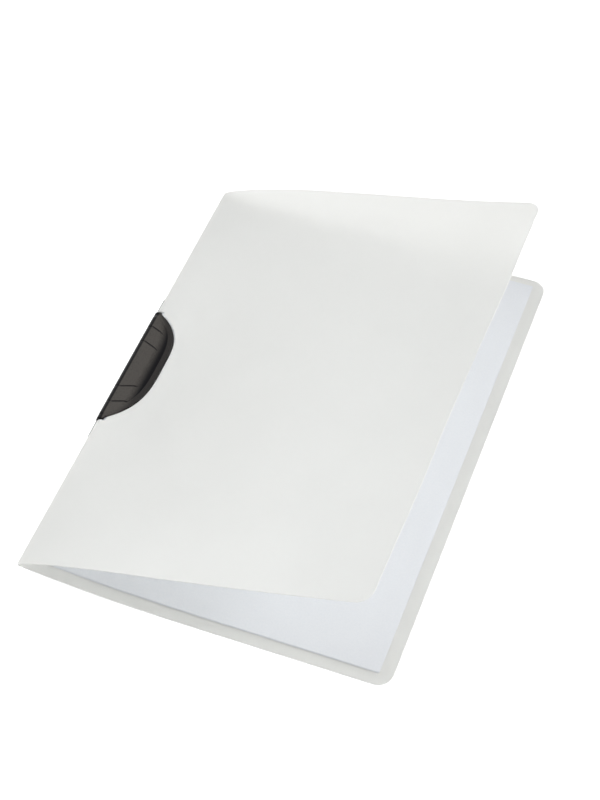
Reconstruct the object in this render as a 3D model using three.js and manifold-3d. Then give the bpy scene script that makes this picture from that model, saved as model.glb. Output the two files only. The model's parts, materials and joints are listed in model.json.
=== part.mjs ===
// A4 clip folder: a creased sheet of frosted plastic lies on its back cover with the front
// cover standing a little open, a half-moon lever swings over the paper at mid-spine, and a
// base under the back cover carries the lever on two stub pins.
// Millimetres, +Z up, Y along the crease, X from the crease to the free edge.
import * as THREE from 'three';
import { mergeVertices } from 'three/addons/utils/BufferGeometryUtils.js';
import Module from 'manifold-3d';

const wasm = await Module();
wasm.setup();

// Driving dimensions of the folder's sheet
const coverWidth = 220;
const folderHeight = 310;
const sheetThickness = 0.4;
const cornerRadius = 9;
const creaseRelief = 1.1; // front cover starts this far from the crease line

// Paper held in the folder
const paperWidth = 210;
const paperHeight = 297;
const paperThickness = 0.5;
const paperFromFreeEdge = 8;
const paperFromNearEnd = 7.3;

// Clip lever
const leverCentreY = 154.4;
const leverHalfLength = 44.4;
const leverDepth = 21;
const arcPowers = [2.9, 4]; // near and far half: a larger power keeps the arc's depth further
const arcRound = 0.85;
const rimTop = 9.9;
const padRaise = 0.9;
const padDepth = 10.6;
const padHalfLength = 40.5;
const padPowers = [6, 4.4];
const padSlope = 3; // width of the pad's sloping flank
const valleyDrop = 0.6;
const rimWidth = 3.4;
const leverWall = 1.5;
const wallOutside = 1.3; // the lever's spine wall stands this far outside the crease
const shoulderWidth = 4.8;
const shoulderHeight = 4.2;
const grooveWidth = 0.6;
const grooveDepth = 0.45;
const grooveOffsets = [20, 32.4]; // from mid-length, on both halves of the lever
const grooveTurn = THREE.MathUtils.degToRad(21);

// Lever's hinge
const hingeHeight = 5.4;
const knuckleRadius = 1.6;
const stubRadius = 0.7;
const stubLength = 8;
const stubClearance = 0.1;

// Clip base
const baseHalfLength = 57;
const baseDepth = 25;
const baseOutside = 1.0; // the base's ears stand this far outside the crease
const earChamfer = 0.6;
const baseWall = 1.4;
const baseRibs = 6;
const studRadius = 1.7;
const studFromCrease = 9;
const studSpacing = 32;

// Clearances
const seatGap = 0.3;
const cutoutClearance = 0.8;
const studHoleClearance = 0.3;
const cutPast = 20; // cutters reach this far past what they cut

// Slope of each cover at distances from the crease
const backBendAt = [0, 15, 40, 80, 120];
const backBend = { at: backBendAt, degrees: [-6.3, -7.3, -5.0, -1.3, 0] };
const frontBendAt = [0, 1.6, 4, 15, 40, 80, 140, 220];
const frontBend = { at: frontBendAt, degrees: [46, 44, 30, 22.3, 18.3, 16.1, 17.6, 19.4] };
const twistAt = [0, 15, 40, 80, 140, 220];
const frontTwist = { at: twistAt, degrees: [0.5, 0.3, -0.3, -2.3, -4.4, -2.0] };
// How far the slope at the clip differs, so that the cut-out's edge lies level with the rim
const dipAt = [0, 1.6, 3, 4, 15, 22, 34, 60, 95, 140];
const clipDip = { at: dipAt, degrees: [0, 0, -35, -29, -21.1, -17.9, 0, 9, 6.8, 0] };
const dipFlatHalf = 25;
const dipFade = 100;

function lookUp({ at, degrees }, distance) {
  if (distance >= at.at(-1)) return degrees.at(-1);
  const right = Math.max(1, at.findIndex((place) => place > distance));
  const share = (distance - at[right - 1]) / (at[right] - at[right - 1]);
  return degrees[right - 1] + (degrees[right] - degrees[right - 1]) * share;
}

// Walks along a cover from the crease in short steps and returns the point at a distance
function walk(slopeAt, distance, startHeight) {
  const steps = Math.max(1, Math.ceil(2 * distance));
  const step = distance / steps;
  const point = { x: 0, z: startHeight, slope: THREE.MathUtils.degToRad(slopeAt(distance)) };
  for (let i = 0; i < steps; i += 1) {
    const slope = THREE.MathUtils.degToRad(slopeAt((i + 0.5) * step));
    point.x += step * Math.cos(slope);
    point.z += step * Math.sin(slope);
  }
  return point;
}

const backSlopeAt = (distance) => lookUp(backBend, distance);
const creaseHeight = sheetThickness / 2 - walk(backSlopeAt, coverWidth, 0).z;
const backPoint = (distance) => walk(backSlopeAt, distance, creaseHeight);

function dipShare(y) {
  const away = (Math.abs(y - leverCentreY) - dipFlatHalf) / dipFade;
  return 1 - THREE.MathUtils.smoothstep(away, 0, 1);
}

function frontPoint(distance, y) {
  const along = y / folderHeight;
  const dip = dipShare(y);
  const slopeAt = (s) => (
    lookUp(frontBend, s) + along * lookUp(frontTwist, s) + dip * lookUp(clipDip, s)
  );
  return walk(slopeAt, distance, creaseHeight);
}

// Solid helpers
function toSolid(geometry) {
  const bare = geometry.clone();
  bare.deleteAttribute('normal');
  bare.deleteAttribute('uv');
  const merged = mergeVertices(bare, 1e-4);
  return new wasm.Manifold(new wasm.Mesh({
    numProp: 3,
    vertProperties: new Float32Array(merged.attributes.position.array),
    triVerts: new Uint32Array(merged.index.array),
  }));
}

// Upright prism over an outline of [x, y] points
function prism(outline, low, high) {
  const shape = new THREE.Shape(outline.map(([x, y]) => new THREE.Vector2(x, y)));
  const geometry = new THREE.ExtrudeGeometry(shape, { depth: high - low, bevelEnabled: false });
  return toSolid(geometry.translate(0, 0, low));
}

// Bar along Y with a section of [x, z] points
function bar(section, nearY, farY) {
  const shape = new THREE.Shape(section.map(([x, z]) => new THREE.Vector2(x, z)));
  const geometry = new THREE.ExtrudeGeometry(shape, { depth: farY - nearY, bevelEnabled: false });
  return toSolid(geometry.rotateX(Math.PI / 2).translate(0, farY, 0));
}

function rodAlongY(radius, x, z, nearY, farY) {
  const geometry = new THREE.CylinderGeometry(radius, radius, farY - nearY, 28);
  return toSolid(geometry.translate(x, (nearY + farY) / 2, z));
}

function uprightRod(radius, x, y, low, high) {
  const geometry = new THREE.CylinderGeometry(radius, radius, high - low, 28);
  return toSolid(geometry.rotateX(Math.PI / 2).translate(x, y, (low + high) / 2));
}

function block(width, length, height, x, y, z, turn = 0) {
  const geometry = new THREE.BoxGeometry(width, length, height);
  return toSolid(geometry.rotateZ(turn).translate(x, y, z));
}

// Half-moon outline about the lever's middle: straight side at startX, bulging to depth
function halfMoon(depth, halfLength, startX, powers = arcPowers) {
  const points = [];
  const steps = 36;
  const cut = Math.max(startX, 0) / depth;
  for (let i = 0; i <= steps; i += 1) {
    const turn = Math.sin(Math.PI * (i / steps - 0.5));
    const power = powers[turn < 0 ? 0 : 1];
    const share = turn * (1 - cut ** (1 / arcRound)) ** (1 / power);
    const bulge = depth * (1 - Math.abs(share) ** power) ** arcRound;
    points.push([bulge, leverCentreY + share * halfLength]);
  }
  if (startX < 0) {
    points.push([startX, leverCentreY + halfLength], [startX, leverCentreY - halfLength]);
  }
  return points;
}

// Solid between a lower and an upper outline with as many points each
function loft(lowOutline, highOutline, low, high) {
  const count = lowOutline.length;
  const corners = [
    ...lowOutline.map(([x, y]) => [x, y, low]),
    ...highOutline.map(([x, y]) => [x, y, high]),
  ];
  const triangles = [];
  for (const [a, b, c] of THREE.ShapeUtils.triangulateShape(
    lowOutline.map(([x, y]) => new THREE.Vector2(x, y)), [],
  )) {
    triangles.push(c, b, a, a + count, b + count, c + count);
  }
  for (let i = 0; i < count; i += 1) {
    const next = (i + 1) % count;
    triangles.push(i, next, next + count, i, next + count, i + count);
  }
  const geometry = new THREE.BufferGeometry();
  geometry.setAttribute('position', new THREE.BufferAttribute(new Float32Array(corners.flat()), 3));
  geometry.setIndex(triangles);
  return toSolid(geometry);
}

// Distances from the crease at which a cover is sampled, closer together near the crease
function stations(from, to, count) {
  const list = [];
  for (let i = 0; i < count; i += 1) list.push(from + (to - from) * (i / count) ** 2);
  list.push(to);
  return list;
}

// Section of a layer that follows the back cover, between two heights above its middle
function layerSection(from, to, lowRise, highRise, count) {
  const low = [];
  const high = [];
  const flatFrom = backBendAt.at(-1);
  for (const distance of stations(from, to, count).filter((s) => s < flatFrom || s === to)) {
    const { x, z, slope } = backPoint(distance);
    const place = (rise) => [x - rise * Math.sin(slope), z + rise * Math.cos(slope)];
    low.push(place(lowRise));
    high.push(place(highRise));
  }
  return [...low, ...high.reverse()];
}

// Everything outside a rounded free corner of a cover
function cornerCutter(edgeX, edgeY, inward, stretch) {
  const radiusX = cornerRadius * stretch;
  const centreX = edgeX - radiusX;
  const centreY = edgeY + inward * cornerRadius;
  const outline = [];
  const steps = 12;
  for (let i = 0; i <= steps; i += 1) {
    const turn = (Math.PI / 2) * (i / steps);
    outline.push([
      centreX + radiusX * Math.sin(turn),
      centreY - inward * cornerRadius * Math.cos(turn),
    ]);
  }
  const pastX = edgeX + cutPast;
  const pastY = edgeY - inward * cutPast;
  outline.push([pastX, centreY], [pastX, pastY], [centreX, pastY]);
  if (inward > 0) outline.reverse();
  return prism(outline, -cutPast, coverWidth);
}

// Materials
const frostedSheet = { color: 0xeef1ef, roughness: 0.45, metalness: 0, transparent: true, opacity: 0.75 };
const blackMoulding = { color: 0x2b2927, roughness: 0.5, metalness: 0 };
const whitePaper = { color: 0xeef3fa, roughness: 0.9, metalness: 0 };

function part(name, solid, look) {
  const mesh = solid.getMesh();
  const geometry = new THREE.BufferGeometry();
  geometry.setAttribute('position', new THREE.BufferAttribute(new Float32Array(mesh.vertProperties), 3));
  geometry.setIndex(new THREE.BufferAttribute(new Uint32Array(mesh.triVerts), 1));
  geometry.computeVertexNormals();
  const made = new THREE.Mesh(geometry, new THREE.MeshStandardMaterial(look));
  made.name = name;
  return made;
}

// Heights of the paper above the middle of the back cover
const half = sheetThickness / 2;
const paperUnder = half + seatGap;
const paperOver = paperUnder + paperThickness;
const paperStart = coverWidth - paperFromFreeEdge - paperWidth;

const hingeX = knuckleRadius - wallOutside;
const leverNear = leverCentreY - leverHalfLength;
const leverFar = leverCentreY + leverHalfLength;
const padTop = rimTop + padRaise;
const studPlaces = [-studSpacing, 0, studSpacing].map((along) => leverCentreY + along);

function makeBackCover() {
  let sheet = bar(layerSection(0, coverWidth, -half, half, 30), 0, folderHeight);
  sheet = sheet.add(rodAlongY(half, 0, creaseHeight, 0, folderHeight));
  const edge = backPoint(coverWidth).x;
  sheet = sheet.subtract(cornerCutter(edge, 0, 1, 1));
  sheet = sheet.subtract(cornerCutter(edge, folderHeight, -1, 1));
  const windowReach = hingeX + knuckleRadius + cutoutClearance;
  const windowHalf = leverHalfLength + cutoutClearance;
  const window = block(2 * windowReach, 2 * windowHalf, cutPast, 0, leverCentreY, creaseHeight);
  sheet = sheet.subtract(window);
  const holeRadius = studRadius + studHoleClearance;
  for (const y of studPlaces) {
    const { x, z } = backPoint(studFromCrease);
    sheet = sheet.subtract(uprightRod(holeRadius, x, y, z - holeRadius, z + holeRadius));
  }
  return part('back_cover', sheet, frostedSheet);
}

// The front cover is a closed grid of quads, one layer of points on each face
function makeFrontCover() {
  const across = stations(creaseRelief, coverWidth, 30);
  const rows = 26;
  const corners = [];
  for (let j = 0; j <= rows; j += 1) {
    const y = folderHeight * j / rows;
    for (const distance of across) {
      const { x, z, slope } = frontPoint(distance, y);
      corners.push([x - half * Math.sin(slope), y, z + half * Math.cos(slope)]);
      corners.push([x + half * Math.sin(slope), y, z - half * Math.cos(slope)]);
    }
  }
  const columns = across.length;
  const top = (i, j) => 2 * (j * columns + i);
  const under = (i, j) => top(i, j) + 1;
  const triangles = [];
  const quad = (a, b, c, d) => triangles.push(a, b, c, a, c, d);
  for (let j = 0; j < rows; j += 1) {
    for (let i = 0; i < columns - 1; i += 1) {
      quad(top(i, j), top(i + 1, j), top(i + 1, j + 1), top(i, j + 1));
      quad(under(i, j), under(i, j + 1), under(i + 1, j + 1), under(i + 1, j));
    }
    quad(top(0, j), top(0, j + 1), under(0, j + 1), under(0, j));
    const last = columns - 1;
    quad(top(last, j), under(last, j), under(last, j + 1), top(last, j + 1));
  }
  for (let i = 0; i < columns - 1; i += 1) {
    quad(top(i, 0), under(i, 0), under(i + 1, 0), top(i + 1, 0));
    quad(top(i, rows), top(i + 1, rows), under(i + 1, rows), under(i, rows));
  }
  const grid = new THREE.BufferGeometry();
  grid.setAttribute('position', new THREE.BufferAttribute(new Float32Array(corners.flat()), 3));
  grid.setIndex(triangles);
  let sheet = toSolid(grid);

  const nearEdge = frontPoint(coverWidth, 0);
  const farEdge = frontPoint(coverWidth, folderHeight);
  const stretch = Math.cos(nearEdge.slope);
  sheet = sheet.subtract(cornerCutter(nearEdge.x, 0, 1, stretch));
  sheet = sheet.subtract(cornerCutter(farEdge.x, folderHeight, -1, stretch));
  const cutHalf = leverHalfLength + cutoutClearance;
  const cutout = halfMoon(leverDepth + cutoutClearance, cutHalf, shoulderWidth - wallOutside);
  sheet = sheet.subtract(prism(cutout, 0, 2 * cutPast));
  const atCrease = shoulderWidth - wallOutside + 2 * cutoutClearance;
  sheet = sheet.subtract(block(2 * atCrease, 2 * cutHalf, cutPast, 0, leverCentreY, creaseHeight));
  return part('front_cover', sheet, frostedSheet);
}

function makePaper() {
  const section = layerSection(paperStart, paperStart + paperWidth, paperUnder, paperOver, 30);
  return part('paper_stack', bar(section, paperFromNearEnd, paperFromNearEnd + paperHeight), whitePaper);
}

// Section of the lever's spine wall: straight outside, rounded shoulder, flat top
function wallSection() {
  const section = [[-wallOutside + leverWall, hingeHeight], [-wallOutside, hingeHeight]];
  const steps = 10;
  for (let i = 0; i <= steps; i += 1) {
    const turn = (Math.PI / 2) * (i / steps);
    section.push([
      -wallOutside + shoulderWidth * (1 - Math.cos(turn)),
      padTop - shoulderHeight * (1 - Math.sin(turn)),
    ]);
  }
  section.push([shoulderWidth - wallOutside, rimTop - leverWall]);
  section.push([-wallOutside + leverWall, rimTop - leverWall]);
  return section;
}

function makeLever() {
  const startX = -wallOutside + leverWall;
  const underside = layerSection(0, leverDepth + cutPast, paperOver + seatGap, 3 * rimTop, 20);
  const abovePaper = bar(underside, leverNear, leverFar);
  const outline = halfMoon(leverDepth, leverHalfLength, startX);
  let lever = prism(outline, 0, rimTop).intersect(abovePaper);

  // Shallow valley between the raised pad and the rim
  const valley = halfMoon(leverDepth - rimWidth, leverHalfLength - rimWidth, 0);
  const valleyTop = rimTop - valleyDrop;
  lever = lever.subtract(prism(valley, valleyTop, rimTop + cutPast));
  const padStart = (shoulderWidth - wallOutside) / 2;
  const padFoot = halfMoon(padDepth + padSlope, padHalfLength + padSlope, padStart, padPowers);
  const padCrown = halfMoon(padDepth, padHalfLength, padStart, padPowers);
  lever = lever.add(loft(padFoot, padCrown, valleyTop - leverWall / 10, padTop));

  // Hollow underneath, with cross ribs, as such mouldings are
  const inner = halfMoon(leverDepth - leverWall, leverHalfLength - leverWall, startX + leverWall);
  let hollow = prism(inner, 0, valleyTop - leverWall);
  for (const along of [-studSpacing / 2, studSpacing / 2]) {
    const y = leverCentreY + along;
    hollow = hollow.subtract(block(2 * leverDepth, leverWall, 2 * rimTop, leverDepth, y, 0));
  }
  lever = lever.subtract(hollow);

  lever = lever.add(bar(wallSection(), leverNear, leverFar));
  lever = lever.add(rodAlongY(knuckleRadius, hingeX, hingeHeight, leverNear, leverFar));
  const stubs = rodAlongY(stubRadius, hingeX, hingeHeight, leverNear - stubLength, leverFar + stubLength);
  lever = lever.add(stubs);

  // Two fine grooves across the pad on each half
  for (const side of [-1, 1]) {
    for (const offset of grooveOffsets) {
      const x = (shoulderWidth - wallOutside + padDepth) / 2;
      const y = leverCentreY + side * (offset - x * Math.tan(grooveTurn));
      const groove = block(padDepth + 2, grooveWidth, 2 * grooveDepth, x, y, padTop, -side * grooveTurn);
      lever = lever.subtract(groove);
    }
  }
  return part('clip_lever', lever, blackMoulding);
}

function makeBase() {
  const under = -half - seatGap;
  const pastDepth = baseDepth + cutPast;
  const topLine = layerSection(0, pastDepth, under - baseWall, under, 16);
  const innerLine = topLine.slice(0, topLine.length / 2);
  const outerLine = topLine.slice(topLine.length / 2);
  const earTop = outerLine.at(-1)[1];
  const body = [
    [-baseOutside, 0], [pastDepth, 0], ...outerLine,
    [earChamfer - baseOutside, earTop], [-baseOutside, earTop - earChamfer],
  ];
  const outline = halfMoon(baseDepth, baseHalfLength, -baseOutside);
  const nearY = leverCentreY - baseHalfLength;
  const farY = leverCentreY + baseHalfLength;
  let base = prism(outline, 0, cutPast).intersect(bar(body, nearY - cutPast, farY + cutPast));

  // Room for the lever's wall and knuckle between the ears
  const leverRoom = hingeX + knuckleRadius + seatGap;
  const roomHalf = leverHalfLength + seatGap;
  base = base.subtract(block(2 * leverRoom, 2 * roomHalf, 2 * cutPast, 0, leverCentreY, 0));

  // Hollow from below, with cross ribs
  const hollowStart = leverRoom + baseWall;
  const hollowSection = [[hollowStart, -cutPast], [pastDepth, -cutPast]];
  hollowSection.push(...[...innerLine].reverse().filter(([x]) => x > hollowStart));
  hollowSection.push([hollowStart, innerLine[0][1]]);
  const hollowOutline = halfMoon(baseDepth - baseWall, baseHalfLength - baseWall, hollowStart);
  let hollow = prism(hollowOutline, -cutPast, cutPast);
  hollow = hollow.intersect(bar(hollowSection, nearY, farY));
  for (let i = 0; i < baseRibs; i += 1) {
    const y = leverCentreY + (i - (baseRibs - 1) / 2) * studSpacing / 2;
    hollow = hollow.subtract(block(2 * baseDepth, baseWall, 2 * cutPast, baseDepth, y, 0));
  }
  base = base.subtract(hollow);

  for (const [from, to] of [
    [leverNear - stubLength - seatGap, leverNear], [leverFar, leverFar + stubLength + seatGap],
  ]) {
    base = base.subtract(rodAlongY(stubRadius + stubClearance, hingeX, hingeHeight, from, to));
  }

  // Studs through the back cover, staked flush with its inside
  const seat = backPoint(studFromCrease);
  const studTop = seat.z + half + studRadius * Math.tan(seat.slope);
  for (const y of studPlaces) base = base.add(uprightRod(studRadius, seat.x, y, 0, studTop));
  return part('clip_base', base, blackMoulding);
}

const clipFolder = new THREE.Group();
clipFolder.add(makeBackCover(), makeFrontCover(), makePaper(), makeLever(), makeBase());

// The origin is at the middle of the underside
clipFolder.position.set(-(backPoint(coverWidth).x - wallOutside) / 2, -folderHeight / 2, 0);
clipFolder.updateMatrixWorld(true);

export default clipFolder;
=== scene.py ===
import json
import math

import bmesh
import bpy
from mathutils import Matrix, Vector
from mathutils.geometry import delaunay_2d_cdt


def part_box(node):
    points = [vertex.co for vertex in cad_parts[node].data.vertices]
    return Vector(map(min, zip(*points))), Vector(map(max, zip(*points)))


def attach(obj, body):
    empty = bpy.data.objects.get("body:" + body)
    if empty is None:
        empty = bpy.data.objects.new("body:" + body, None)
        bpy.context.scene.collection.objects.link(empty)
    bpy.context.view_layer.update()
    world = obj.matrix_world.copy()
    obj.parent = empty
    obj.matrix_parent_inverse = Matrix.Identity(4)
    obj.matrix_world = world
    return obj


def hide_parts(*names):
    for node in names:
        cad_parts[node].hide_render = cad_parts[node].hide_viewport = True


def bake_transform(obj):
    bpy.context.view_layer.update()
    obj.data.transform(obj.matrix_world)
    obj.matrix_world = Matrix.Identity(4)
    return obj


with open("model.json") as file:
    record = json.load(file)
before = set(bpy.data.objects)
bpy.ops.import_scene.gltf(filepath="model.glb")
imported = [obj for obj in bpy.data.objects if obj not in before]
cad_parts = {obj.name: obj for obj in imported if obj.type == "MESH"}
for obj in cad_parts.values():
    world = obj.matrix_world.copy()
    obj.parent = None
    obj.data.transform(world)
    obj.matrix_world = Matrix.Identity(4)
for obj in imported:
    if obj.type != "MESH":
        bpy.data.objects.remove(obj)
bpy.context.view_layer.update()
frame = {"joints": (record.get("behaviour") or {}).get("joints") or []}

mm = 0.001

hinges = {joint["name"]: Vector(joint["pos_m"]) for joint in frame["joints"]}
creasePoint = hinges["cover_crease"]
leverPoint = hinges["lever_hinge"]
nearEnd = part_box("back_cover")[0][1]  # y of the folder's near end
print("frame loaded, crease at", [round(v, 4) for v in creasePoint])


# Camera and light

camera = {
    "fromCrease": (0.3664, -0.4822, 0.8717),  # from the near end of the crease, on the table
    "right": (0.9363, 0.3508, -0.0179),
    "down": (0.2627, -0.7333, -0.6271),
    "focalPx": 1860.6,
    "longSidePx": 800,
    "sensor": 36,
}


def makeCamera():
    data = bpy.data.cameras.new("camera")
    data.lens = camera["focalPx"] * camera["sensor"] / camera["longSidePx"]
    data.sensor_width = camera["sensor"]
    data.clip_end = 20
    right = Vector(camera["right"]).normalized()
    down = Vector(camera["down"])
    down = (down - right * down.dot(right)).normalized()
    back = right.cross(-down)
    turn = Matrix((right, -down, back)).transposed()
    place = Vector(camera["fromCrease"]) + Vector((creasePoint.x, nearEnd, 0))
    holder = bpy.data.objects.new("camera", data)
    holder.matrix_world = Matrix.Translation(place) @ turn.to_4x4()
    bpy.context.scene.collection.objects.link(holder)
    bpy.context.scene.camera = holder


light = {
    "worldLevel": 0.32,
    "shownWhite": 1.0,
    "lamps": [  # name, place, aim, size, watts
        ("keyLamp", (-0.29, -0.03, 0.48), (-0.05, 0.0, 0.03), 0.3, 2.0),
        ("sideLamp", (0.65, 0.05, 0.3), (0.08, 0.0, 0.0), 0.5, 3.2),
        ("frontLamp", (0.1, -0.9, 0.3), (0.05, -0.1, 0.0), 0.5, 0.9),
    ],
}


def makeLight():
    world = bpy.data.worlds.new("studio")
    bpy.context.scene.world = world
    world.use_nodes = True
    nodes, links = world.node_tree.nodes, world.node_tree.links
    nodes.clear()
    out = nodes.new("ShaderNodeOutputWorld")
    lit = nodes.new("ShaderNodeBackground")
    shown = nodes.new("ShaderNodeBackground")
    mix = nodes.new("ShaderNodeMixShader")
    lit.inputs["Strength"].default_value = light["worldLevel"]
    lit.inputs["Color"].default_value = (1, 1, 1, 1)
    shown.inputs["Strength"].default_value = light["shownWhite"]
    shown.inputs["Color"].default_value = (1, 1, 1, 1)
    links.new(seenDirectly(nodes, links), mix.inputs["Fac"])
    links.new(lit.outputs[0], mix.inputs[1])
    links.new(shown.outputs[0], mix.inputs[2])
    links.new(mix.outputs[0], out.inputs["Surface"])
    for name, place, aim, size, watts in light["lamps"]:
        data = bpy.data.lights.new(name, "AREA")
        data.energy = watts
        data.size = size
        lamp = bpy.data.objects.new(name, data)
        lamp.location = place
        lamp.rotation_euler = (Vector(aim) - Vector(place)).to_track_quat("-Z", "Y").to_euler()
        bpy.context.scene.collection.objects.link(lamp)


def seenDirectly(nodes, links):
    # 1 for camera, glossy and transmission rays
    path = nodes.new("ShaderNodeLightPath")
    first = nodes.new("ShaderNodeMath")
    second = nodes.new("ShaderNodeMath")
    first.operation = second.operation = "MAXIMUM"
    links.new(path.outputs["Is Camera Ray"], first.inputs[0])
    links.new(path.outputs["Is Glossy Ray"], first.inputs[1])
    links.new(first.outputs[0], second.inputs[0])
    links.new(path.outputs["Is Transmission Ray"], second.inputs[1])
    return second.outputs[0]


floor = {"halfSize": 3.0, "below": 0.0004, "colour": (0.9, 0.9, 0.9, 1), "glow": 0.73}


def makeFloor():
    mesh = bpy.data.meshes.new("floor")
    h, z = floor["halfSize"], -floor["below"]
    mesh.from_pydata([(-h, -h, z), (h, -h, z), (h, h, z), (-h, h, z)], [], [(0, 1, 2, 3)])
    plane = bpy.data.objects.new("floor", mesh)
    bpy.context.scene.collection.objects.link(plane)
    mat = bpy.data.materials.new("paleFloor")
    mat.use_nodes = True
    nodes, links = mat.node_tree.nodes, mat.node_tree.links
    nodes.clear()
    out = nodes.new("ShaderNodeOutputMaterial")
    matt = nodes.new("ShaderNodeBsdfDiffuse")
    matt.inputs["Color"].default_value = floor["colour"]
    glow = nodes.new("ShaderNodeEmission")
    glow.inputs["Strength"].default_value = floor["glow"]
    both = nodes.new("ShaderNodeAddShader")
    mix = nodes.new("ShaderNodeMixShader")
    links.new(matt.outputs[0], both.inputs[0])
    links.new(glow.outputs[0], both.inputs[1])
    links.new(seenDirectly(nodes, links), mix.inputs["Fac"])
    links.new(matt.outputs[0], mix.inputs[1])
    links.new(both.outputs[0], mix.inputs[2])
    links.new(mix.outputs[0], out.inputs["Surface"])
    mesh.materials.append(mat)


# Finishes

def newFinish(name):
    mat = bpy.data.materials.new(name)
    mat.use_nodes = True
    nodes, links = mat.node_tree.nodes, mat.node_tree.links
    return mat, nodes, links, nodes["Principled BSDF"]


def noiseOn(nodes, links, scale, detail):
    place = nodes.new("ShaderNodeTexCoord")
    noise = nodes.new("ShaderNodeTexNoise")
    noise.inputs["Scale"].default_value = scale
    noise.inputs["Detail"].default_value = detail
    links.new(place.outputs["Object"], noise.inputs["Vector"])
    return noise


def rampOf(nodes, links, source, look, spread):
    ramp = nodes.new("ShaderNodeValToRGB")
    first, last = ramp.color_ramp.elements
    first.position, last.position = spread
    first.color, last.color = (*look["low"], 1), (*look["high"], 1)
    links.new(source, ramp.inputs["Fac"])
    return ramp


def bumpFrom(links, source, shader, bump, look):
    bump.inputs["Strength"].default_value = look["bumpStrength"]
    bump.inputs["Distance"].default_value = look["bumpDepth"]
    links.new(source, bump.inputs["Height"])
    links.new(bump.outputs["Normal"], shader.inputs["Normal"])


cloudSpread = (0.35, 0.65)  # part of the noise's range over which a colour changes

frosted = {
    "low": (0.905, 0.91, 0.892),
    "high": (0.92, 0.925, 0.907),
    "roughness": 0.38,
    "ior": 1.45,
    "transmission": 0.48,
    "cloudScale": 18,
    "cloudDetail": 2,
    "grainScale": 2600,
    "grainDetail": 1,
    "bumpDepth": 0.02 * mm,
    "bumpStrength": 0.25,
}


def makeFrosted():
    mat, nodes, links, shader = newFinish("frostedSheet")
    cloud = noiseOn(nodes, links, frosted["cloudScale"], frosted["cloudDetail"])
    ramp = rampOf(nodes, links, cloud.outputs["Fac"], frosted, cloudSpread)
    links.new(ramp.outputs["Color"], shader.inputs["Base Color"])
    shader.inputs["Roughness"].default_value = frosted["roughness"]
    shader.inputs["IOR"].default_value = frosted["ior"]
    shader.inputs["Transmission Weight"].default_value = frosted["transmission"]
    grain = noiseOn(nodes, links, frosted["grainScale"], frosted["grainDetail"])
    bumpFrom(links, grain.outputs["Fac"], shader, nodes.new("ShaderNodeBump"), frosted)
    return mat


paperLook = {
    "low": (0.90, 0.925, 0.965),
    "high": (0.93, 0.95, 0.985),
    "roughness": 0.9,
    "fibreScale": 900,
    "fibreDetail": 3,
    "bumpDepth": 0.02 * mm,
    "bumpStrength": 0.2,
}


def makePaperFinish():
    mat, nodes, links, shader = newFinish("whitePaper")
    fibre = noiseOn(nodes, links, paperLook["fibreScale"], paperLook["fibreDetail"])
    ramp = rampOf(nodes, links, fibre.outputs["Fac"], paperLook, cloudSpread)
    links.new(ramp.outputs["Color"], shader.inputs["Base Color"])
    shader.inputs["Roughness"].default_value = paperLook["roughness"]
    bumpFrom(links, fibre.outputs["Fac"], shader, nodes.new("ShaderNodeBump"), paperLook)
    return mat


blackLook = {
    "low": (0.004, 0.004, 0.005),  # polished; on the lever also painted shade in the valley, on the shoulder and in the grooves
    "high": (0.07, 0.065, 0.06),  # grained; on the lever's pad and rim also painted sheen
    "polishedRoughness": 0.32,
    "grainedRoughness": 0.55,
    "specular": 0.07,
    "grainScale": 1700,
    "grainDetail": 3,
    "bumpDepth": 0.09 * mm,
    "bumpStrength": 0.6,
    "speckle": 1.6,
    "baseGrain": 0.2,
}


def makeBlackFinish(name, byAttribute):
    mat, nodes, links, shader = newFinish(name)
    noise = noiseOn(nodes, links, blackLook["grainScale"], blackLook["grainDetail"])
    speckle = nodes.new("ShaderNodeMath")
    speckle.operation = "MULTIPLY_ADD"
    links.new(noise.outputs["Fac"], speckle.inputs[0])
    speckle.inputs[1].default_value = blackLook["speckle"]
    speckle.inputs[2].default_value = 1 - blackLook["speckle"] / 2
    grainAndSheen = nodes.new("ShaderNodeMath")
    grainAndSheen.operation = "MULTIPLY"
    links.new(speckle.outputs[0], grainAndSheen.inputs[0])
    grainAndSheen.inputs[1].default_value = blackLook["baseGrain"]
    # on the lever the grain attribute carries grain with painted sheen on the pad and rim and painted
    # shade on the rest of its top
    if byAttribute:
        painted = nodes.new("ShaderNodeAttribute")
        painted.attribute_name = "grain"
        links.new(painted.outputs["Fac"], grainAndSheen.inputs[1])
    ramp = rampOf(nodes, links, grainAndSheen.outputs[0], blackLook, (0, 1))
    links.new(ramp.outputs["Color"], shader.inputs["Base Color"])
    rough = nodes.new("ShaderNodeMapRange")
    links.new(grainAndSheen.outputs[0], rough.inputs["Value"])
    rough.inputs["To Min"].default_value = blackLook["polishedRoughness"]
    rough.inputs["To Max"].default_value = blackLook["grainedRoughness"]
    links.new(rough.outputs[0], shader.inputs["Roughness"])
    shader.inputs["Specular IOR Level"].default_value = blackLook["specular"]
    bumpFrom(links, noise.outputs["Fac"], shader, nodes.new("ShaderNodeBump"), blackLook)
    return mat


def addPiece(name, mesh, mat):
    mesh.materials.clear()
    mesh.materials.append(mat)
    piece = bpy.data.objects.new(name, mesh)
    bpy.context.scene.collection.objects.link(piece)
    return piece


# Folder sheet: one creased sheet with a window for the clip

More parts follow.
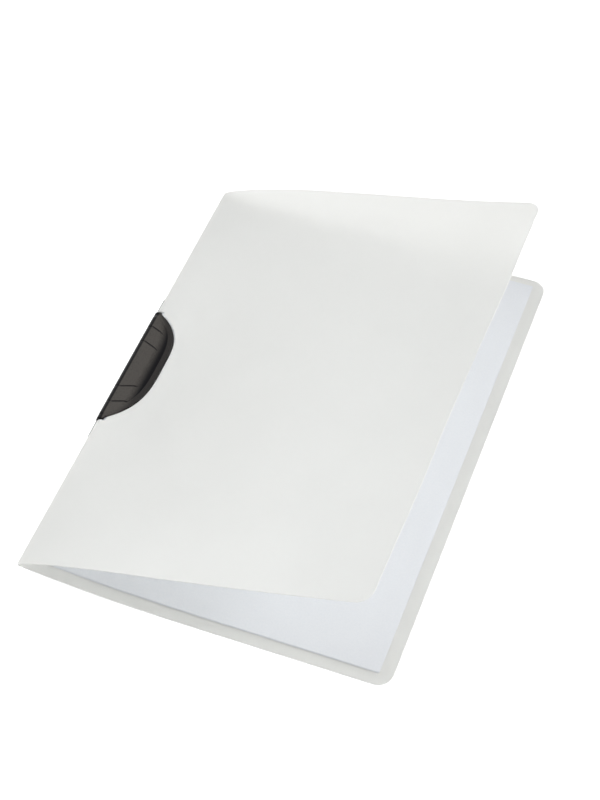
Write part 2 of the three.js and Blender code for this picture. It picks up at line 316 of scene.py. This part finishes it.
# the bend tables give degrees at a distance in millimetres from the crease
sheet = {
    "width": 220 * mm,
    "height": 310 * mm,
    "thickness": 0.4 * mm,
    "cornerRadius": 9 * mm,
    "backSlope": [(0, -6.3), (15, -7.3), (40, -5.0), (80, -1.3), (120, 0)],
    "frontSlope": [(0, 46), (1.6, 44), (4, 30), (15, 22.3), (40, 18.3), (80, 16.1), (140, 17.6),
                   (220, 19.4)],
    "frontTwist": [(0, 0.5), (15, 0.3), (40, -0.3), (80, -2.3), (140, -4.4), (220, -2.0)],
    "clipDip": [(0, 0), (1.6, 0), (3, -35), (4, -29), (15, -21.1), (22, -17.9), (34, 0), (60, 9),
                (95, 6.8), (140, 0)],
    "dipFlatHalf": 25 * mm,
    "dipFade": 100 * mm,
    "creaseRadius": 0.35 * mm,
    "backInside": (0.11, 0.99),  # inside normals of the covers at the crease
    "frontInside": (0.71, -0.70),
    "leanAtClip": 6.9,
    "walkStep": 0.5 * mm,
    "cornerSteps": 12,
    "windowSteps": 56,
    "outerStep": 2.4 * mm,
    "windowStep": 0.8 * mm,
    "rowStep": 2.5 * mm,
    "columnSteps": [(0.7 * mm, 0.14 * mm), (5 * mm, 0.5 * mm), (45 * mm, 1.6 * mm), (220 * mm, 5.0 * mm)],
    "edgeMargin": 1.2 * mm,
    "cornerZone": 12 * mm,
    "windowMargin": 0.35 * mm,
    "windowZone": (-5 * mm, 26 * mm, 48 * mm),
    "sameVertex": 1e-7,
    "sharpAngle": 50,
    "bendHeight": 0.9 * mm,
}

clip = {
    "centreY": 154.4 * mm,  # along the crease, from the near end
    "halfLength": 44.4 * mm,
    "depth": 21 * mm,
    "arcPowers": (2.9, 4),  # near and far half
    "arcRound": 0.85,
    "clearance": 0.8 * mm,
    "wallOutside": 1.3 * mm,
    "shoulderWidth": 4.8 * mm,
    "shoulderHeight": 4.2 * mm,
    "knuckleRadius": 1.6 * mm,
}


def lookUp(table, distance):
    at = distance / mm
    if at >= table[-1][0]:
        return table[-1][1]
    for (x0, y0), (x1, y1) in zip(table, table[1:]):
        if at < x1:
            return y0 + (y1 - y0) * (at - x0) / (x1 - x0)


def smoothStep(t):
    t = min(max(t, 0.0), 1.0)
    return t * t * (3 - 2 * t)


def walkTable(slopeAt):
    # Points along a cover from the crease, in even steps
    step = sheet["walkStep"]
    count = int(round(sheet["width"] / step))
    x, z, points = 0.0, 0.0, []
    for i in range(count + 1):
        slope = math.radians(slopeAt(i * step))
        points.append((x, z, slope))
        middle = math.radians(slopeAt((i + 0.5) * step))
        x += step * math.cos(middle)
        z += step * math.sin(middle)
    return points


def readTable(points, distance):
    at = min(max(distance / sheet["walkStep"], 0.0), len(points) - 1.0)
    i = min(int(at), len(points) - 2)
    t = at - i
    a, b = points[i], points[i + 1]
    return tuple(a[k] + (b[k] - a[k]) * t for k in range(3))


backWalk = walkTable(lambda s: lookUp(sheet["backSlope"], s))
frontWalks = {}


def frontWalk(y):
    key = round(y / mm, 1)
    if key not in frontWalks:
        along = y / sheet["height"]
        dip = 1 - smoothStep((abs(y - clip["centreY"]) - sheet["dipFlatHalf"]) / sheet["dipFade"])
        frontWalks[key] = walkTable(
            lambda s: lookUp(sheet["frontSlope"], s)
            + along * lookUp(sheet["frontTwist"], s)
            + dip * lookUp(sheet["clipDip"], s)
        )
    return frontWalks[key]


def sheetPoint(s, y, rise):
    # s is negative on the back cover, 0 on the crease and positive on the front cover
    if s < 0:
        x, z, slope = readTable(backWalk, -s)
        # the inside of the back cover faces up
        nx, nz = -math.sin(slope), math.cos(slope)
    else:
        x, z, slope = readTable(frontWalk(y), s)
        # the inside of the front cover faces down
        nx, nz = math.sin(slope), -math.cos(slope)
    near = sheet["creaseRadius"]
    if abs(s) < near:
        # the inside turns through the crease from one cover to the other
        t = smoothStep((s + near) / (2 * near))
        (bx, bz), (fx, fz) = sheet["backInside"], sheet["frontInside"]
        nx, nz = bx + (fx - bx) * t, bz + (fz - bz) * t
        length = math.hypot(nx, nz)
        nx, nz = nx / length, nz / length
    return Vector((creasePoint.x + x + rise * nx, nearEnd + y, creasePoint.z + z + rise * nz))


def halfMoonBulge(depth, halfLength, away, powers=clip["arcPowers"]):
    t = min(abs(away) / halfLength, 1.0)
    return depth * (1 - t ** powers[0 if away < 0 else 1]) ** clip["arcRound"]


def halfMoonReach(depth, halfLength, bulge, side):
    power = clip["arcPowers"][0 if side < 0 else 1]
    return halfLength * (1 - (bulge / depth) ** (1 / clip["arcRound"])) ** (1 / power)


def distanceAt(x, y):
    # distance along the front cover to a place x away from the crease
    walk = frontWalk(y)
    i = next(i for i in range(len(walk) - 1) if walk[i + 1][0] >= x)
    return (i + (x - walk[i][0]) / (walk[i + 1][0] - walk[i][0])) * sheet["walkStep"]


def outerOutline():
    w, h, r, steps = sheet["width"], sheet["height"], sheet["cornerRadius"], sheet["cornerSteps"]
    corners = ((w - r, r, -90), (w - r, h - r, 0), (-w + r, h - r, 90), (-w + r, r, 180))
    points = []
    for cx, cy, start in corners:
        for i in range(steps + 1):
            turn = math.radians(start + 90 * i / steps)
            points.append((cx + r * math.cos(turn), cy + r * math.sin(turn)))
    return points


def windowOutline():
    # front side: the lever's half-moon with clearance, back side: room for the knuckle
    depth = clip["depth"] + clip["clearance"]
    half = clip["halfLength"] + clip["clearance"]
    shoulder = clip["shoulderWidth"] - clip["wallOutside"] + 2 * clip["clearance"]
    back = -2 * clip["knuckleRadius"] + clip["wallOutside"] - clip["clearance"]
    points = [(shoulder, -half)]
    for i in range(sheet["windowSteps"] + 1):
        turn = math.sin(math.pi * (i / sheet["windowSteps"] - 0.5))
        along = turn * halfMoonReach(depth, half, shoulder, turn)
        points.append((halfMoonBulge(depth, half, along), along))
    points.append((shoulder, half))
    middle = clip["centreY"]
    points = [(distanceAt(x, middle + along), middle + along) for x, along in points]
    return points + [(back, middle + half), (back, middle - half)]


def subdivided(points, step):
    fine = []
    for (x0, y0), (x1, y1) in zip(points, points[1:] + points[:1]):
        count = max(1, int(math.hypot(x1 - x0, y1 - y0) / step))
        fine += [(x0 + (x1 - x0) * i / count, y0 + (y1 - y0) * i / count) for i in range(count)]
    return fine


def insideOutline(point, outline):
    x, y = point
    inside = False
    for (x0, y0), (x1, y1) in zip(outline, outline[1:] + outline[:1]):
        if (y0 > y) != (y1 > y) and x < (x1 - x0) * (y - y0) / (y1 - y0) + x0:
            inside = not inside
    return inside


def nearOutline(point, outline, reach):
    x, y = point
    for (x0, y0), (x1, y1) in zip(outline, outline[1:] + outline[:1]):
        dx, dy = x1 - x0, y1 - y0
        t = min(max(((x - x0) * dx + (y - y0) * dy) / (dx * dx + dy * dy), 0), 1)
        if math.hypot(x - x0 - t * dx, y - y0 - t * dy) < reach:
            return True
    return False


def gridStations():
    # across the sheet: fine about the crease and the clip, coarse beyond
    marks = []
    s = 0.0
    for until, step in sheet["columnSteps"]:
        while s < until:
            marks.append(s)
            s += step
    return [-v for v in reversed(marks[1:])] + marks


def gridPoints(outer, window):
    # inner points of the flat sheet, clear of both outlines
    corner, margin = sheet["cornerZone"], sheet["edgeMargin"]
    zoneBack, zoneFront, zoneHalf = sheet["windowZone"]
    rows = int(sheet["height"] / sheet["rowStep"])
    points = []
    for s in gridStations():
        for j in range(1, rows):
            p = (s, sheet["height"] * j / rows)
            edge = sheet["width"] - abs(s)
            inCorner = edge < corner and min(p[1], sheet["height"] - p[1]) < corner
            if edge < margin or (inCorner and nearOutline(p, outer, margin)):
                continue
            if inCorner and not insideOutline(p, outer):
                continue
            nearClip = abs(p[1] - clip["centreY"]) < zoneHalf and zoneBack < s < zoneFront
            if nearClip and (insideOutline(p, window) or nearOutline(p, window, sheet["windowMargin"])):
                continue
            points.append(Vector(p))
    return points


def flatSheet():
    # points and triangles of the sheet laid flat
    outer, window = outerOutline(), windowOutline()
    outerFine = subdivided(outer, sheet["outerStep"])
    windowFine = subdivided(window, sheet["windowStep"])
    points = [Vector(p) for p in outerFine + windowFine] + gridPoints(outer, window)
    n, m = len(outerFine), len(windowFine)
    edges = [(i, (i + 1) % n) for i in range(n)] + [(n + i, n + (i + 1) % m) for i in range(m)]
    verts, _, faces, _, _, _ = delaunay_2d_cdt(points, edges, [], 0, sheet["sameVertex"])
    kept = []
    for face in faces:
        cx = sum(verts[i].x for i in face) / 3
        cy = sum(verts[i].y for i in face) / 3
        if insideOutline((cx, cy), outer) and not insideOutline((cx, cy), window):
            kept.append(tuple(face))
    return verts, kept


def makeFolderSheet(mat):
    verts, kept = flatSheet()
    half = sheet["thickness"] / 2
    count = len(verts)
    inside = [sheetPoint(v.x, v.y, half) for v in verts]
    outside = [sheetPoint(v.x, v.y, -half) for v in verts]
    faces = []
    edgeUse = {}
    for a, b, c in kept:
        faces += [(a, b, c), (c + count, b + count, a + count)]
        for e in ((a, b), (b, c), (c, a)):
            edgeUse[e] = True
    for a, b in edgeUse:
        if (b, a) not in edgeUse:
            faces.append((b, a, a + count, b + count))
    mesh = bpy.data.meshes.new("folder_sheet")
    mesh.from_pydata(inside + outside, [], faces)
    shade(mesh, sheet["sharpAngle"])
    piece = addPiece("folder_sheet", mesh, mat)
    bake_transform(piece)
    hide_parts("back_cover", "front_cover")
    print("folder sheet made,", len(mesh.polygons), "faces")


def toRow(x, y, z):
    return (creasePoint.x + x, nearEnd + y, z)


def backHeight(x, rise):
    # height over the back cover's middle at a place near the crease
    _, z, slope = readTable(backWalk, x / math.cos(math.radians(sheet["leanAtClip"])))
    return creasePoint.z + z + rise / math.cos(slope)


def skinLoops(mesh, loops):
    # closed skin over loops with as many points each
    count = len(loops[0])
    faces = [tuple(range(count))]
    for k in range(len(loops) - 1):
        for i in range(count):
            a, b = k * count + i, k * count + (i + 1) % count
            faces.append((a, a + count, b + count, b))
    last = (len(loops) - 1) * count
    faces.append(tuple(last + i for i in reversed(range(count))))
    mesh.from_pydata([p for loop in loops for p in loop], [], faces)


def shade(mesh, sharpAngle):
    # drops loose points, turns the faces outward and shades them smooth up to the angle
    work = bmesh.new()
    work.from_mesh(mesh)
    bmesh.ops.delete(work, geom=[v for v in work.verts if not v.link_faces], context="VERTS")
    bmesh.ops.recalc_face_normals(work, faces=work.faces)
    for face in work.faces:
        face.smooth = True
    for edge in work.edges:
        if len(edge.link_faces) == 2 and edge.calc_face_angle() > math.radians(sharpAngle):
            edge.smooth = False
    work.to_mesh(mesh)
    work.free()


rod = {"sides": 32, "bevelShare": 0.2}
mouldingAngle = 40  # edges of the mouldings and leaves sharper than this stay sharp


def addRod(mesh, radius, start, end, sides=rod["sides"]):
    # closed rod between two points, its ends slightly rounded
    work = bmesh.new()
    work.from_mesh(mesh)
    start, end = Vector(start), Vector(end)
    length = (end - start).length
    turn = (end - start).to_track_quat("Z", "Y").to_matrix().to_4x4()
    bevel = rod["bevelShare"] * radius
    profile = ((0, radius - bevel), (bevel, radius), (length - bevel, radius), (length, radius - bevel))
    rings = []
    for along, r in profile:
        ring = []
        for i in range(sides):
            a = 2 * math.pi * i / sides
            ring.append(work.verts.new(start + turn @ Vector((r * math.cos(a), r * math.sin(a), along))))
        rings.append(ring)
    for low, high in zip(rings, rings[1:]):
        for i in range(sides):
            j = (i + 1) % sides
            work.faces.new((low[i], low[j], high[j], high[i]))
    work.faces.new(list(reversed(rings[0])))
    work.faces.new(rings[-1])
    work.to_mesh(mesh)
    work.free()


def stationsAlong(half, step, faces):
    # even stations with a close pair at each face where the section changes
    marks = {round(-half + i * step, 6) for i in range(int(2 * half / step) + 1)} | {half}
    pair = 0.04 * mm
    for face in faces:
        marks = {m for m in marks if abs(m - face) > 2 * pair}
        marks |= {face - pair / 2, face + pair / 2}
    return sorted(marks)


# Paper: leaves of A4 that follow the back cover

paper = {
    "start": 2 * mm,
    "width": 210 * mm,
    "nearEnd": 7.3 * mm,
    "height": 297 * mm,
    "under": 0.5 * mm,
    "leaves": 5,
    "pitch": 0.1 * mm,
    "leafThickness": 0.08 * mm,
    "shift": 0.3 * mm,
    "seed": 4,
    "columns": 60,
    "rows": 12,
}


def leafMesh():
    columns, rows = paper["columns"], paper["rows"]
    rises = (paper["under"], paper["under"] + paper["leafThickness"])
    low, high = [], []
    for j in range(rows + 1):
        y = paper["nearEnd"] + paper["height"] * j / rows
        for i in range(columns + 1):
            x, z, slope = readTable(backWalk, paper["start"] + paper["width"] * i / columns)
            z += creasePoint.z
            for layer, rise in zip((low, high), rises):
                layer.append(toRow(x - rise * math.sin(slope), y, z + rise * math.cos(slope)))
    size = (columns + 1) * (rows + 1)
    faces = []
    for j in range(rows):
        for i in range(columns):
            a = j * (columns + 1) + i
            b, c, d = a + 1, a + columns + 2, a + columns + 1
            faces += [(a, d, c, b), (a + size, b + size, c + size, d + size)]
    rim = list(range(columns))
    rim += [j * (columns + 1) + columns for j in range(rows)]
    rim += [rows * (columns + 1) + i for i in range(columns, 0, -1)]
    rim += [j * (columns + 1) for j in range(rows, 0, -1)]
    for a, b in zip(rim, rim[1:] + rim[:1]):
        faces.append((a, b, b + size, a + size))
    mesh = bpy.data.meshes.new("leaf")
    mesh.from_pydata(low + high, [], faces)
    shade(mesh, mouldingAngle)
    return mesh


def makePaperStack(mat):
    leaf = addPiece("paper_leaves", leafMesh(), mat)
    inputs = [("Leaves", "NodeSocketInt"), ("Pitch", "NodeSocketFloat"), ("Shift", "NodeSocketFloat"),
              ("Seed", "NodeSocketInt")]
    tree, start, end = newTree("leafStack", inputs)
    nodes, links = tree.nodes, tree.links
    line = nodes.new("GeometryNodeMeshLine")
    up = nodes.new("ShaderNodeCombineXYZ")
    links.new(start.outputs["Leaves"], line.inputs["Count"])
    links.new(start.outputs["Pitch"], up.inputs["Z"])
    links.new(up.outputs[0], line.inputs["Offset"])
    loose = nodes.new("FunctionNodeRandomValue")
    loose.data_type = "FLOAT_VECTOR"
    loose.inputs["Min"].default_value = (-1, -1, 0)
    loose.inputs["Max"].default_value = (1, 1, 0)
    links.new(start.outputs["Seed"], loose.inputs["Seed"])
    scaled = nodes.new("ShaderNodeVectorMath")
    scaled.operation = "SCALE"
    links.new(loose.outputs["Value"], scaled.inputs[0])
    links.new(start.outputs["Shift"], scaled.inputs["Scale"])
    moved = nodes.new("GeometryNodeSetPosition")
    links.new(line.outputs[0], moved.inputs["Geometry"])
    links.new(scaled.outputs[0], moved.inputs["Offset"])
    spread = nodes.new("GeometryNodeInstanceOnPoints")
    links.new(moved.outputs[0], spread.inputs["Points"])
    links.new(start.outputs["Geometry"], spread.inputs["Instance"])
    finishTree(tree, spread.outputs[0], end, mat)
    values = {
        "Leaves": paper["leaves"],
        "Pitch": paper["pitch"],
        "Shift": paper["shift"],
        "Seed": paper["seed"],
    }
    runTree(leaf, tree, values)
    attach(leaf, "folder")
    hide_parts("paper_stack")
    print("paper made,", len(leaf.data.polygons), "faces")


def newTree(name, inputs):
    tree = bpy.data.node_groups.new(name, "GeometryNodeTree")
    tree.interface.new_socket("Geometry", in_out="INPUT", socket_type="NodeSocketGeometry")
    for label, kind in inputs:
        tree.interface.new_socket(label, in_out="INPUT", socket_type=kind)
    tree.interface.new_socket("Geometry", in_out="OUTPUT", socket_type="NodeSocketGeometry")
    return tree, tree.nodes.new("NodeGroupInput"), tree.nodes.new("NodeGroupOutput")


def finishTree(tree, source, end, mat):
    real = tree.nodes.new("GeometryNodeRealizeInstances")
    look = tree.nodes.new("GeometryNodeSetMaterial")
    look.inputs["Material"].default_value = mat
    tree.links.new(source, real.inputs["Geometry"])
    tree.links.new(real.outputs[0], look.inputs["Geometry"])
    tree.links.new(look.outputs[0], end.inputs["Geometry"])


def runTree(piece, tree, values):
    # runs the tree on the piece and keeps the result as its plain mesh
    modifier = piece.modifiers.new(tree.name, "NODES")
    modifier.node_group = tree
    for item in tree.interface.items_tree:
        if item.in_out == "INPUT" and item.name in values:
            modifier[item.identifier] = values[item.name]
    bpy.context.view_layer.update()
    ready = piece.evaluated_get(bpy.context.evaluated_depsgraph_get())
    mesh = bpy.data.meshes.new_from_object(ready)
    piece.modifiers.remove(modifier)
    piece.data = mesh


# Clip lever: one smooth moulding over sections along the crease

lever = {
    "rimTop": 9.9 * mm,
    "padTop": 10.8 * mm,
    "padDepth": 10.6 * mm,
    "padHalfLength": 40.5 * mm,
    "padPowers": (6, 4.4),
    "padSlope": 3.4 * mm,
    "crown": 0.25 * mm,
    "valleyDrop": 0.6 * mm,
    "rimWidth": 3.4 * mm,
    "rimStep": 0.7 * mm,
    "edgeRadius": 0.45 * mm,
    "tipRadius": 0.8 * mm,
    "wall": 1.5 * mm,
    "ribFromMiddle": 16 * mm,
    "abovePaper": 1.3 * mm,
    "stubRadius": 0.7 * mm,
    "stubLength": 8 * mm,
    "grooves": [20 * mm, 32.4 * mm],
    "grooveTurn": 21,
    "grooveWidth": 1.2 * mm,
    "grooveDepth": 0.5 * mm,
    "grooveStart": 2.6 * mm,
    "grooveFade": 0.8 * mm,
    "step": 0.25 * mm,
    "shoulderSteps": 14,
    "topSteps": 64,
    "edgeSteps": 5,
    "ceilingSteps": 20,
    "knuckleSteps": 24,
    "knuckleTurn": 270,
    "shoulderRoom": 0.4 * mm,
    "footBevel": 0.2 * mm,
    "leastInside": 1.2 * mm,
    "ceilingStart": 0.02 * mm,
    "stubRoot": 1 * mm,
    # grain values of the lever's top, which also paint sheen on the pad and rim and shade on the shoulder,
    # in the valley and in the grooves
    "bareGrainAndSheen": 0.1,
    "grainAndSheenStart": 2.0 * mm,
    "grainAndSheenDown": 1.2 * mm,
    "grainAndSheenFade": 5.5 * mm,
    "rimGrainAndSheen": 0.35,
}


def leverHeight(x, away):
    # height of the lever's top: pad, valley and rim
    z = lever["rimTop"] - lever["valleyDrop"] * (1 - rimShare(x, away))
    padTop = lever["padTop"] - lever["crown"] * (x / lever["padDepth"]) ** 2
    z += (padTop - z) * padShare(x, away)
    return z - grooveCut(x, away)


def rimShare(x, away):
    # 1 on the rim, 0 inside it
    width = lever["rimWidth"]
    rimInside = halfMoonBulge(clip["depth"] - width, clip["halfLength"] - width, away)
    return smoothStep((x - rimInside) / lever["rimStep"] + 0.5)


def padShare(x, away, slope=lever["padSlope"]):
    # 1 on the pad, 0 off it
    depth, half = lever["padDepth"] + slope, lever["padHalfLength"] + slope
    foot = halfMoonBulge(depth, half, away, lever["padPowers"])
    return smoothStep((foot - x) / slope)


def grooveCut(x, away):
    # depth of the slanting grooves at each end of the pad
    side = 1 if away > 0 else -1
    turn = math.radians(lever["grooveTurn"])
    inside = padShare(x, away) * smoothStep((x - lever["grooveStart"]) / lever["grooveFade"])
    cut = 0.0
    for offset in lever["grooves"]:
        off = (side * away - offset + x * math.tan(turn)) * math.cos(turn)
        cut += lever["grooveDepth"] * smoothStep(1 - abs(off) / (lever["grooveWidth"] / 2))
    return cut * inside


def grainAndSheenAt(point):
    # how grained the moulding is, with painted sheen: fully on the pad, a third on the rim, hardly
    # elsewhere; its low value on the shoulder, in the valley and in the grooves is painted shade
    x, away = point.x - creasePoint.x, point.y - nearEnd - clip["centreY"]
    if abs(away) > clip["halfLength"]:
        return lever["bareGrainAndSheen"]
    if point.z < leverHeight(max(x, 0), away) - tipDrop(away) - lever["grainAndSheenDown"]:
        return lever["bareGrainAndSheen"]
    pad = padShare(x, away, lever["grainAndSheenFade"])
    groove = min(1.0, 2 * grooveCut(x, away) / lever["grooveDepth"])
    start = smoothStep((x - lever["grainAndSheenStart"]) / lever["grooveFade"])
    return start * (1 - groove) * (pad + lever["rimGrainAndSheen"] * rimShare(x, away) * (1 - pad))


def tipDrop(away):
    # how far the top goes down in the rounding at the lever's ends
    nearTip = max(0.0, lever["tipRadius"] - (clip["halfLength"] - abs(away)))
    return lever["tipRadius"] - math.sqrt(max(0.0, lever["tipRadius"] ** 2 - nearTip ** 2))


def leverTop(away, reach):
    # line over the lever from its spine wall to its outer edge
    r, outside, half = lever["edgeRadius"], clip["wallOutside"], math.pi / 2
    shoulderEnd = min(clip["shoulderWidth"] - outside, reach - r - lever["shoulderRoom"])
    foot = lever["padTop"] - clip["shoulderHeight"]
    crest = leverHeight(shoulderEnd, away)
    top = []
    for i in range(lever["shoulderSteps"] + 1):
        turn = half * i / lever["shoulderSteps"]
        x = -outside + (shoulderEnd + outside) * (1 - math.cos(turn))
        top.append((x, foot + (crest - foot) * math.sin(turn)))
    for i in range(1, lever["topSteps"] + 1):
        x = shoulderEnd + (reach - r - shoulderEnd) * i / lever["topSteps"]
        top.append((x, leverHeight(x, away)))
    edge = top[-1][1]
    for i in range(1, lever["edgeSteps"] + 1):
        turn = half * i / lever["edgeSteps"]
        top.append((reach - r + r * math.sin(turn), edge - r + r * math.cos(turn)))
    drop = tipDrop(away)
    return [(x, z - drop * min(1.0, (z - foot) / clip["shoulderHeight"])) for x, z in top]


def leverUnder(away, reach, hollow):
    # line back under the lever, over its hollow or rib, and round the knuckle
    wall, bevel, tiny = lever["wall"], lever["footBevel"], lever["ceilingStart"]
    inside = halfMoonBulge(clip["depth"] - wall, clip["halfLength"] - wall, away)
    inside = max(min(inside, reach - wall), lever["leastInside"])
    inner = wall - clip["wallOutside"]
    ceiling = lever["rimTop"] - lever["valleyDrop"] - wall
    under = [(reach, underAt(reach) + bevel), (reach - bevel, underAt(reach)), (inside, underAt(inside))]
    for i in range(lever["ceilingSteps"] + 1):
        x = inside - tiny + (inner - inside + tiny) * i / lever["ceilingSteps"]
        under.append((x, max(underAt(x), ceiling) if hollow else underAt(x)))
    pinX, pinZ, r = leverPoint.x - creasePoint.x, leverPoint.z, clip["knuckleRadius"]
    for i in range(lever["knuckleSteps"] + 1):
        turn = math.radians(90 - lever["knuckleTurn"] * i / lever["knuckleSteps"])
        under.append((pinX + r * math.cos(turn), pinZ + r * math.sin(turn)))
    return under


def underAt(x):
    return backHeight(x, lever["abovePaper"])


def leverLoop(away, hollow):
    shoulder = clip["shoulderWidth"] - clip["wallOutside"]
    reach = max(halfMoonBulge(clip["depth"], clip["halfLength"], away), shoulder)
    loop = leverTop(away, reach) + leverUnder(away, reach, hollow)
    return [toRow(x, clip["centreY"] + away, z) for x, z in loop]


def makeLever(mat):
    half, wall, rib = clip["halfLength"], lever["wall"], lever["ribFromMiddle"]
    changes = [-half + wall, -rib - wall / 2, -rib + wall / 2, rib - wall / 2, rib + wall / 2, half - wall]
    loops = []
    for away in stationsAlong(half, lever["step"], changes):
        ahead = sum(1 for e in changes if away > e)
        loops.append(leverLoop(away, ahead % 2 == 1))
    mesh = bpy.data.meshes.new("clip_lever_body")
    skinLoops(mesh, loops)
    pinX, pinZ = leverPoint.x - creasePoint.x, leverPoint.z
    for side in (-1, 1):
        start = toRow(pinX, clip["centreY"] + side * (half - lever["stubRoot"]), pinZ)
        end = toRow(pinX, clip["centreY"] + side * (half + lever["stubLength"]), pinZ)
        addRod(mesh, lever["stubRadius"], start, end)
    shade(mesh, mouldingAngle)
    # the grain attribute holds the moulding's grain with painted sheen on the pad and rim and painted
    # shade on the shoulder, in the valley and in the grooves
    grain = mesh.attributes.new("grain", "FLOAT", "POINT")
    grain.data.foreach_set("value", [grainAndSheenAt(v.co) for v in mesh.vertices])
    piece = addPiece("clip_lever_body", mesh, mat)
    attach(piece, "clip_lever")
    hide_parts("clip_lever")
    print("lever made,", len(mesh.polygons), "faces")


# Clip base: half-moon tray under the back cover with an ear at each end

base = {
    "halfLength": 57 * mm,
    "depth": 25 * mm,
    "outside": 1.0 * mm,
    "earChamfer": 0.6 * mm,
    "wall": 1.4 * mm,
    "ribs": 6,
    "ribPitch": 16 * mm,
    "underSheet": -0.5 * mm,
    "edgeRadius": 0.4 * mm,
    "leverGap": 0.3 * mm,
    "studRadius": 1.7 * mm,
    "studPitch": 32 * mm,
    "studFromCrease": 9 * mm,
    "studs": 3,
    "studSides": 40,
    "studFoot": 0.1 * mm,
    "studAboveMiddle": 0.2 * mm,
    "step": 1.0 * mm,
    "topSteps": 24,
    "edgeSteps": 4,
    "ceilingSteps": 16,
    "bevel": 0.2 * mm,
    "leastReach": 0.6 * mm,
    "leastHollow": 0.6 * mm,
    "solidShares": (0.4, 0.6),
}


def baseTopAt(x):
    return backHeight(max(x, 0), base["underSheet"])


def baseLoop(away, hollow):
    r, foot, wall = base["edgeRadius"], base["bevel"], base["wall"]
    leverRoom = leverPoint.x - creasePoint.x + clip["knuckleRadius"] + base["leverGap"]
    ear = abs(away) > clip["halfLength"] + base["leverGap"]
    reach = max(halfMoonBulge(base["depth"], base["halfLength"], away), base["leastReach"])
    start = -base["outside"] if ear else leverRoom
    bevel = base["earChamfer"] if ear else base["bevel"]
    loop = [(start, foot), (start, baseTopAt(start) - bevel)]
    for i in range(base["topSteps"] + 1):
        x = start + bevel + (reach - r - start - bevel) * i / base["topSteps"]
        loop.append((x, baseTopAt(x)))
    edge = loop[-1][1]
    for i in range(1, base["edgeSteps"] + 1):
        turn = math.pi / 2 * i / base["edgeSteps"]
        loop.append((reach - r + r * math.sin(turn), edge - r + r * math.cos(turn)))
    loop += [(reach, foot), (reach - foot, 0)]
    inside = halfMoonBulge(base["depth"] - wall, base["halfLength"] - wall, away)
    innerEnd = leverRoom + wall
    deep = hollow and inside > innerEnd + base["leastHollow"]
    nearShare, farShare = base["solidShares"]
    farSide = inside if deep else start + (reach - start) * farShare
    nearSide = innerEnd if deep else start + (reach - start) * nearShare
    loop.append((farSide, 0))
    for i in range(base["ceilingSteps"] + 1):
        x = farSide + (nearSide - farSide) * i / base["ceilingSteps"]
        loop.append((x, baseTopAt(x) - wall if deep else 0.0))
    loop += [(nearSide, 0), (start + foot, 0)]
    return [toRow(x, clip["centreY"] + away, z) for x, z in loop]


def makeBase(mat):
    half, wall = base["halfLength"], base["wall"]
    middles = [(i - (base["ribs"] - 1) / 2) * base["ribPitch"] for i in range(base["ribs"])]
    changes = [-half + wall]
    for middle in middles:
        changes += [middle - wall / 2, middle + wall / 2]
    changes.append(half - wall)
    ears = [-clip["halfLength"] - base["leverGap"], clip["halfLength"] + base["leverGap"]]
    loops = []
    for away in stationsAlong(half, base["step"], changes + ears):
        ahead = sum(1 for e in changes if away > e)
        loops.append(baseLoop(away, ahead % 2 == 1))
    mesh = bpy.data.meshes.new("clip_base_body")
    skinLoops(mesh, loops)
    x = base["studFromCrease"]
    foot, top = base["studFoot"], backHeight(x, base["studAboveMiddle"])
    for i in range(base["studs"]):
        y = clip["centreY"] + (i - (base["studs"] - 1) / 2) * base["studPitch"]
        addRod(mesh, base["studRadius"], toRow(x, y, foot), toRow(x, y, top), base["studSides"])
    shade(mesh, mouldingAngle)
    piece = addPiece("clip_base_body", mesh, mat)
    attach(piece, "folder")
    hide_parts("clip_base")
    print("base made,", len(mesh.polygons), "faces")


makeCamera()
makeLight()
makeFloor()
frostedSheet = makeFrosted()
whitePaper = makePaperFinish()
leverFinish = makeBlackFinish("blackLever", True)
baseFinish = makeBlackFinish("blackBase", False)
print("camera, light and finishes made")

makeFolderSheet(frostedSheet)
makePaperStack(whitePaper)
makeLever(leverFinish)
makeBase(baseFinish)

bpy.context.scene.view_settings.view_transform = "Standard"
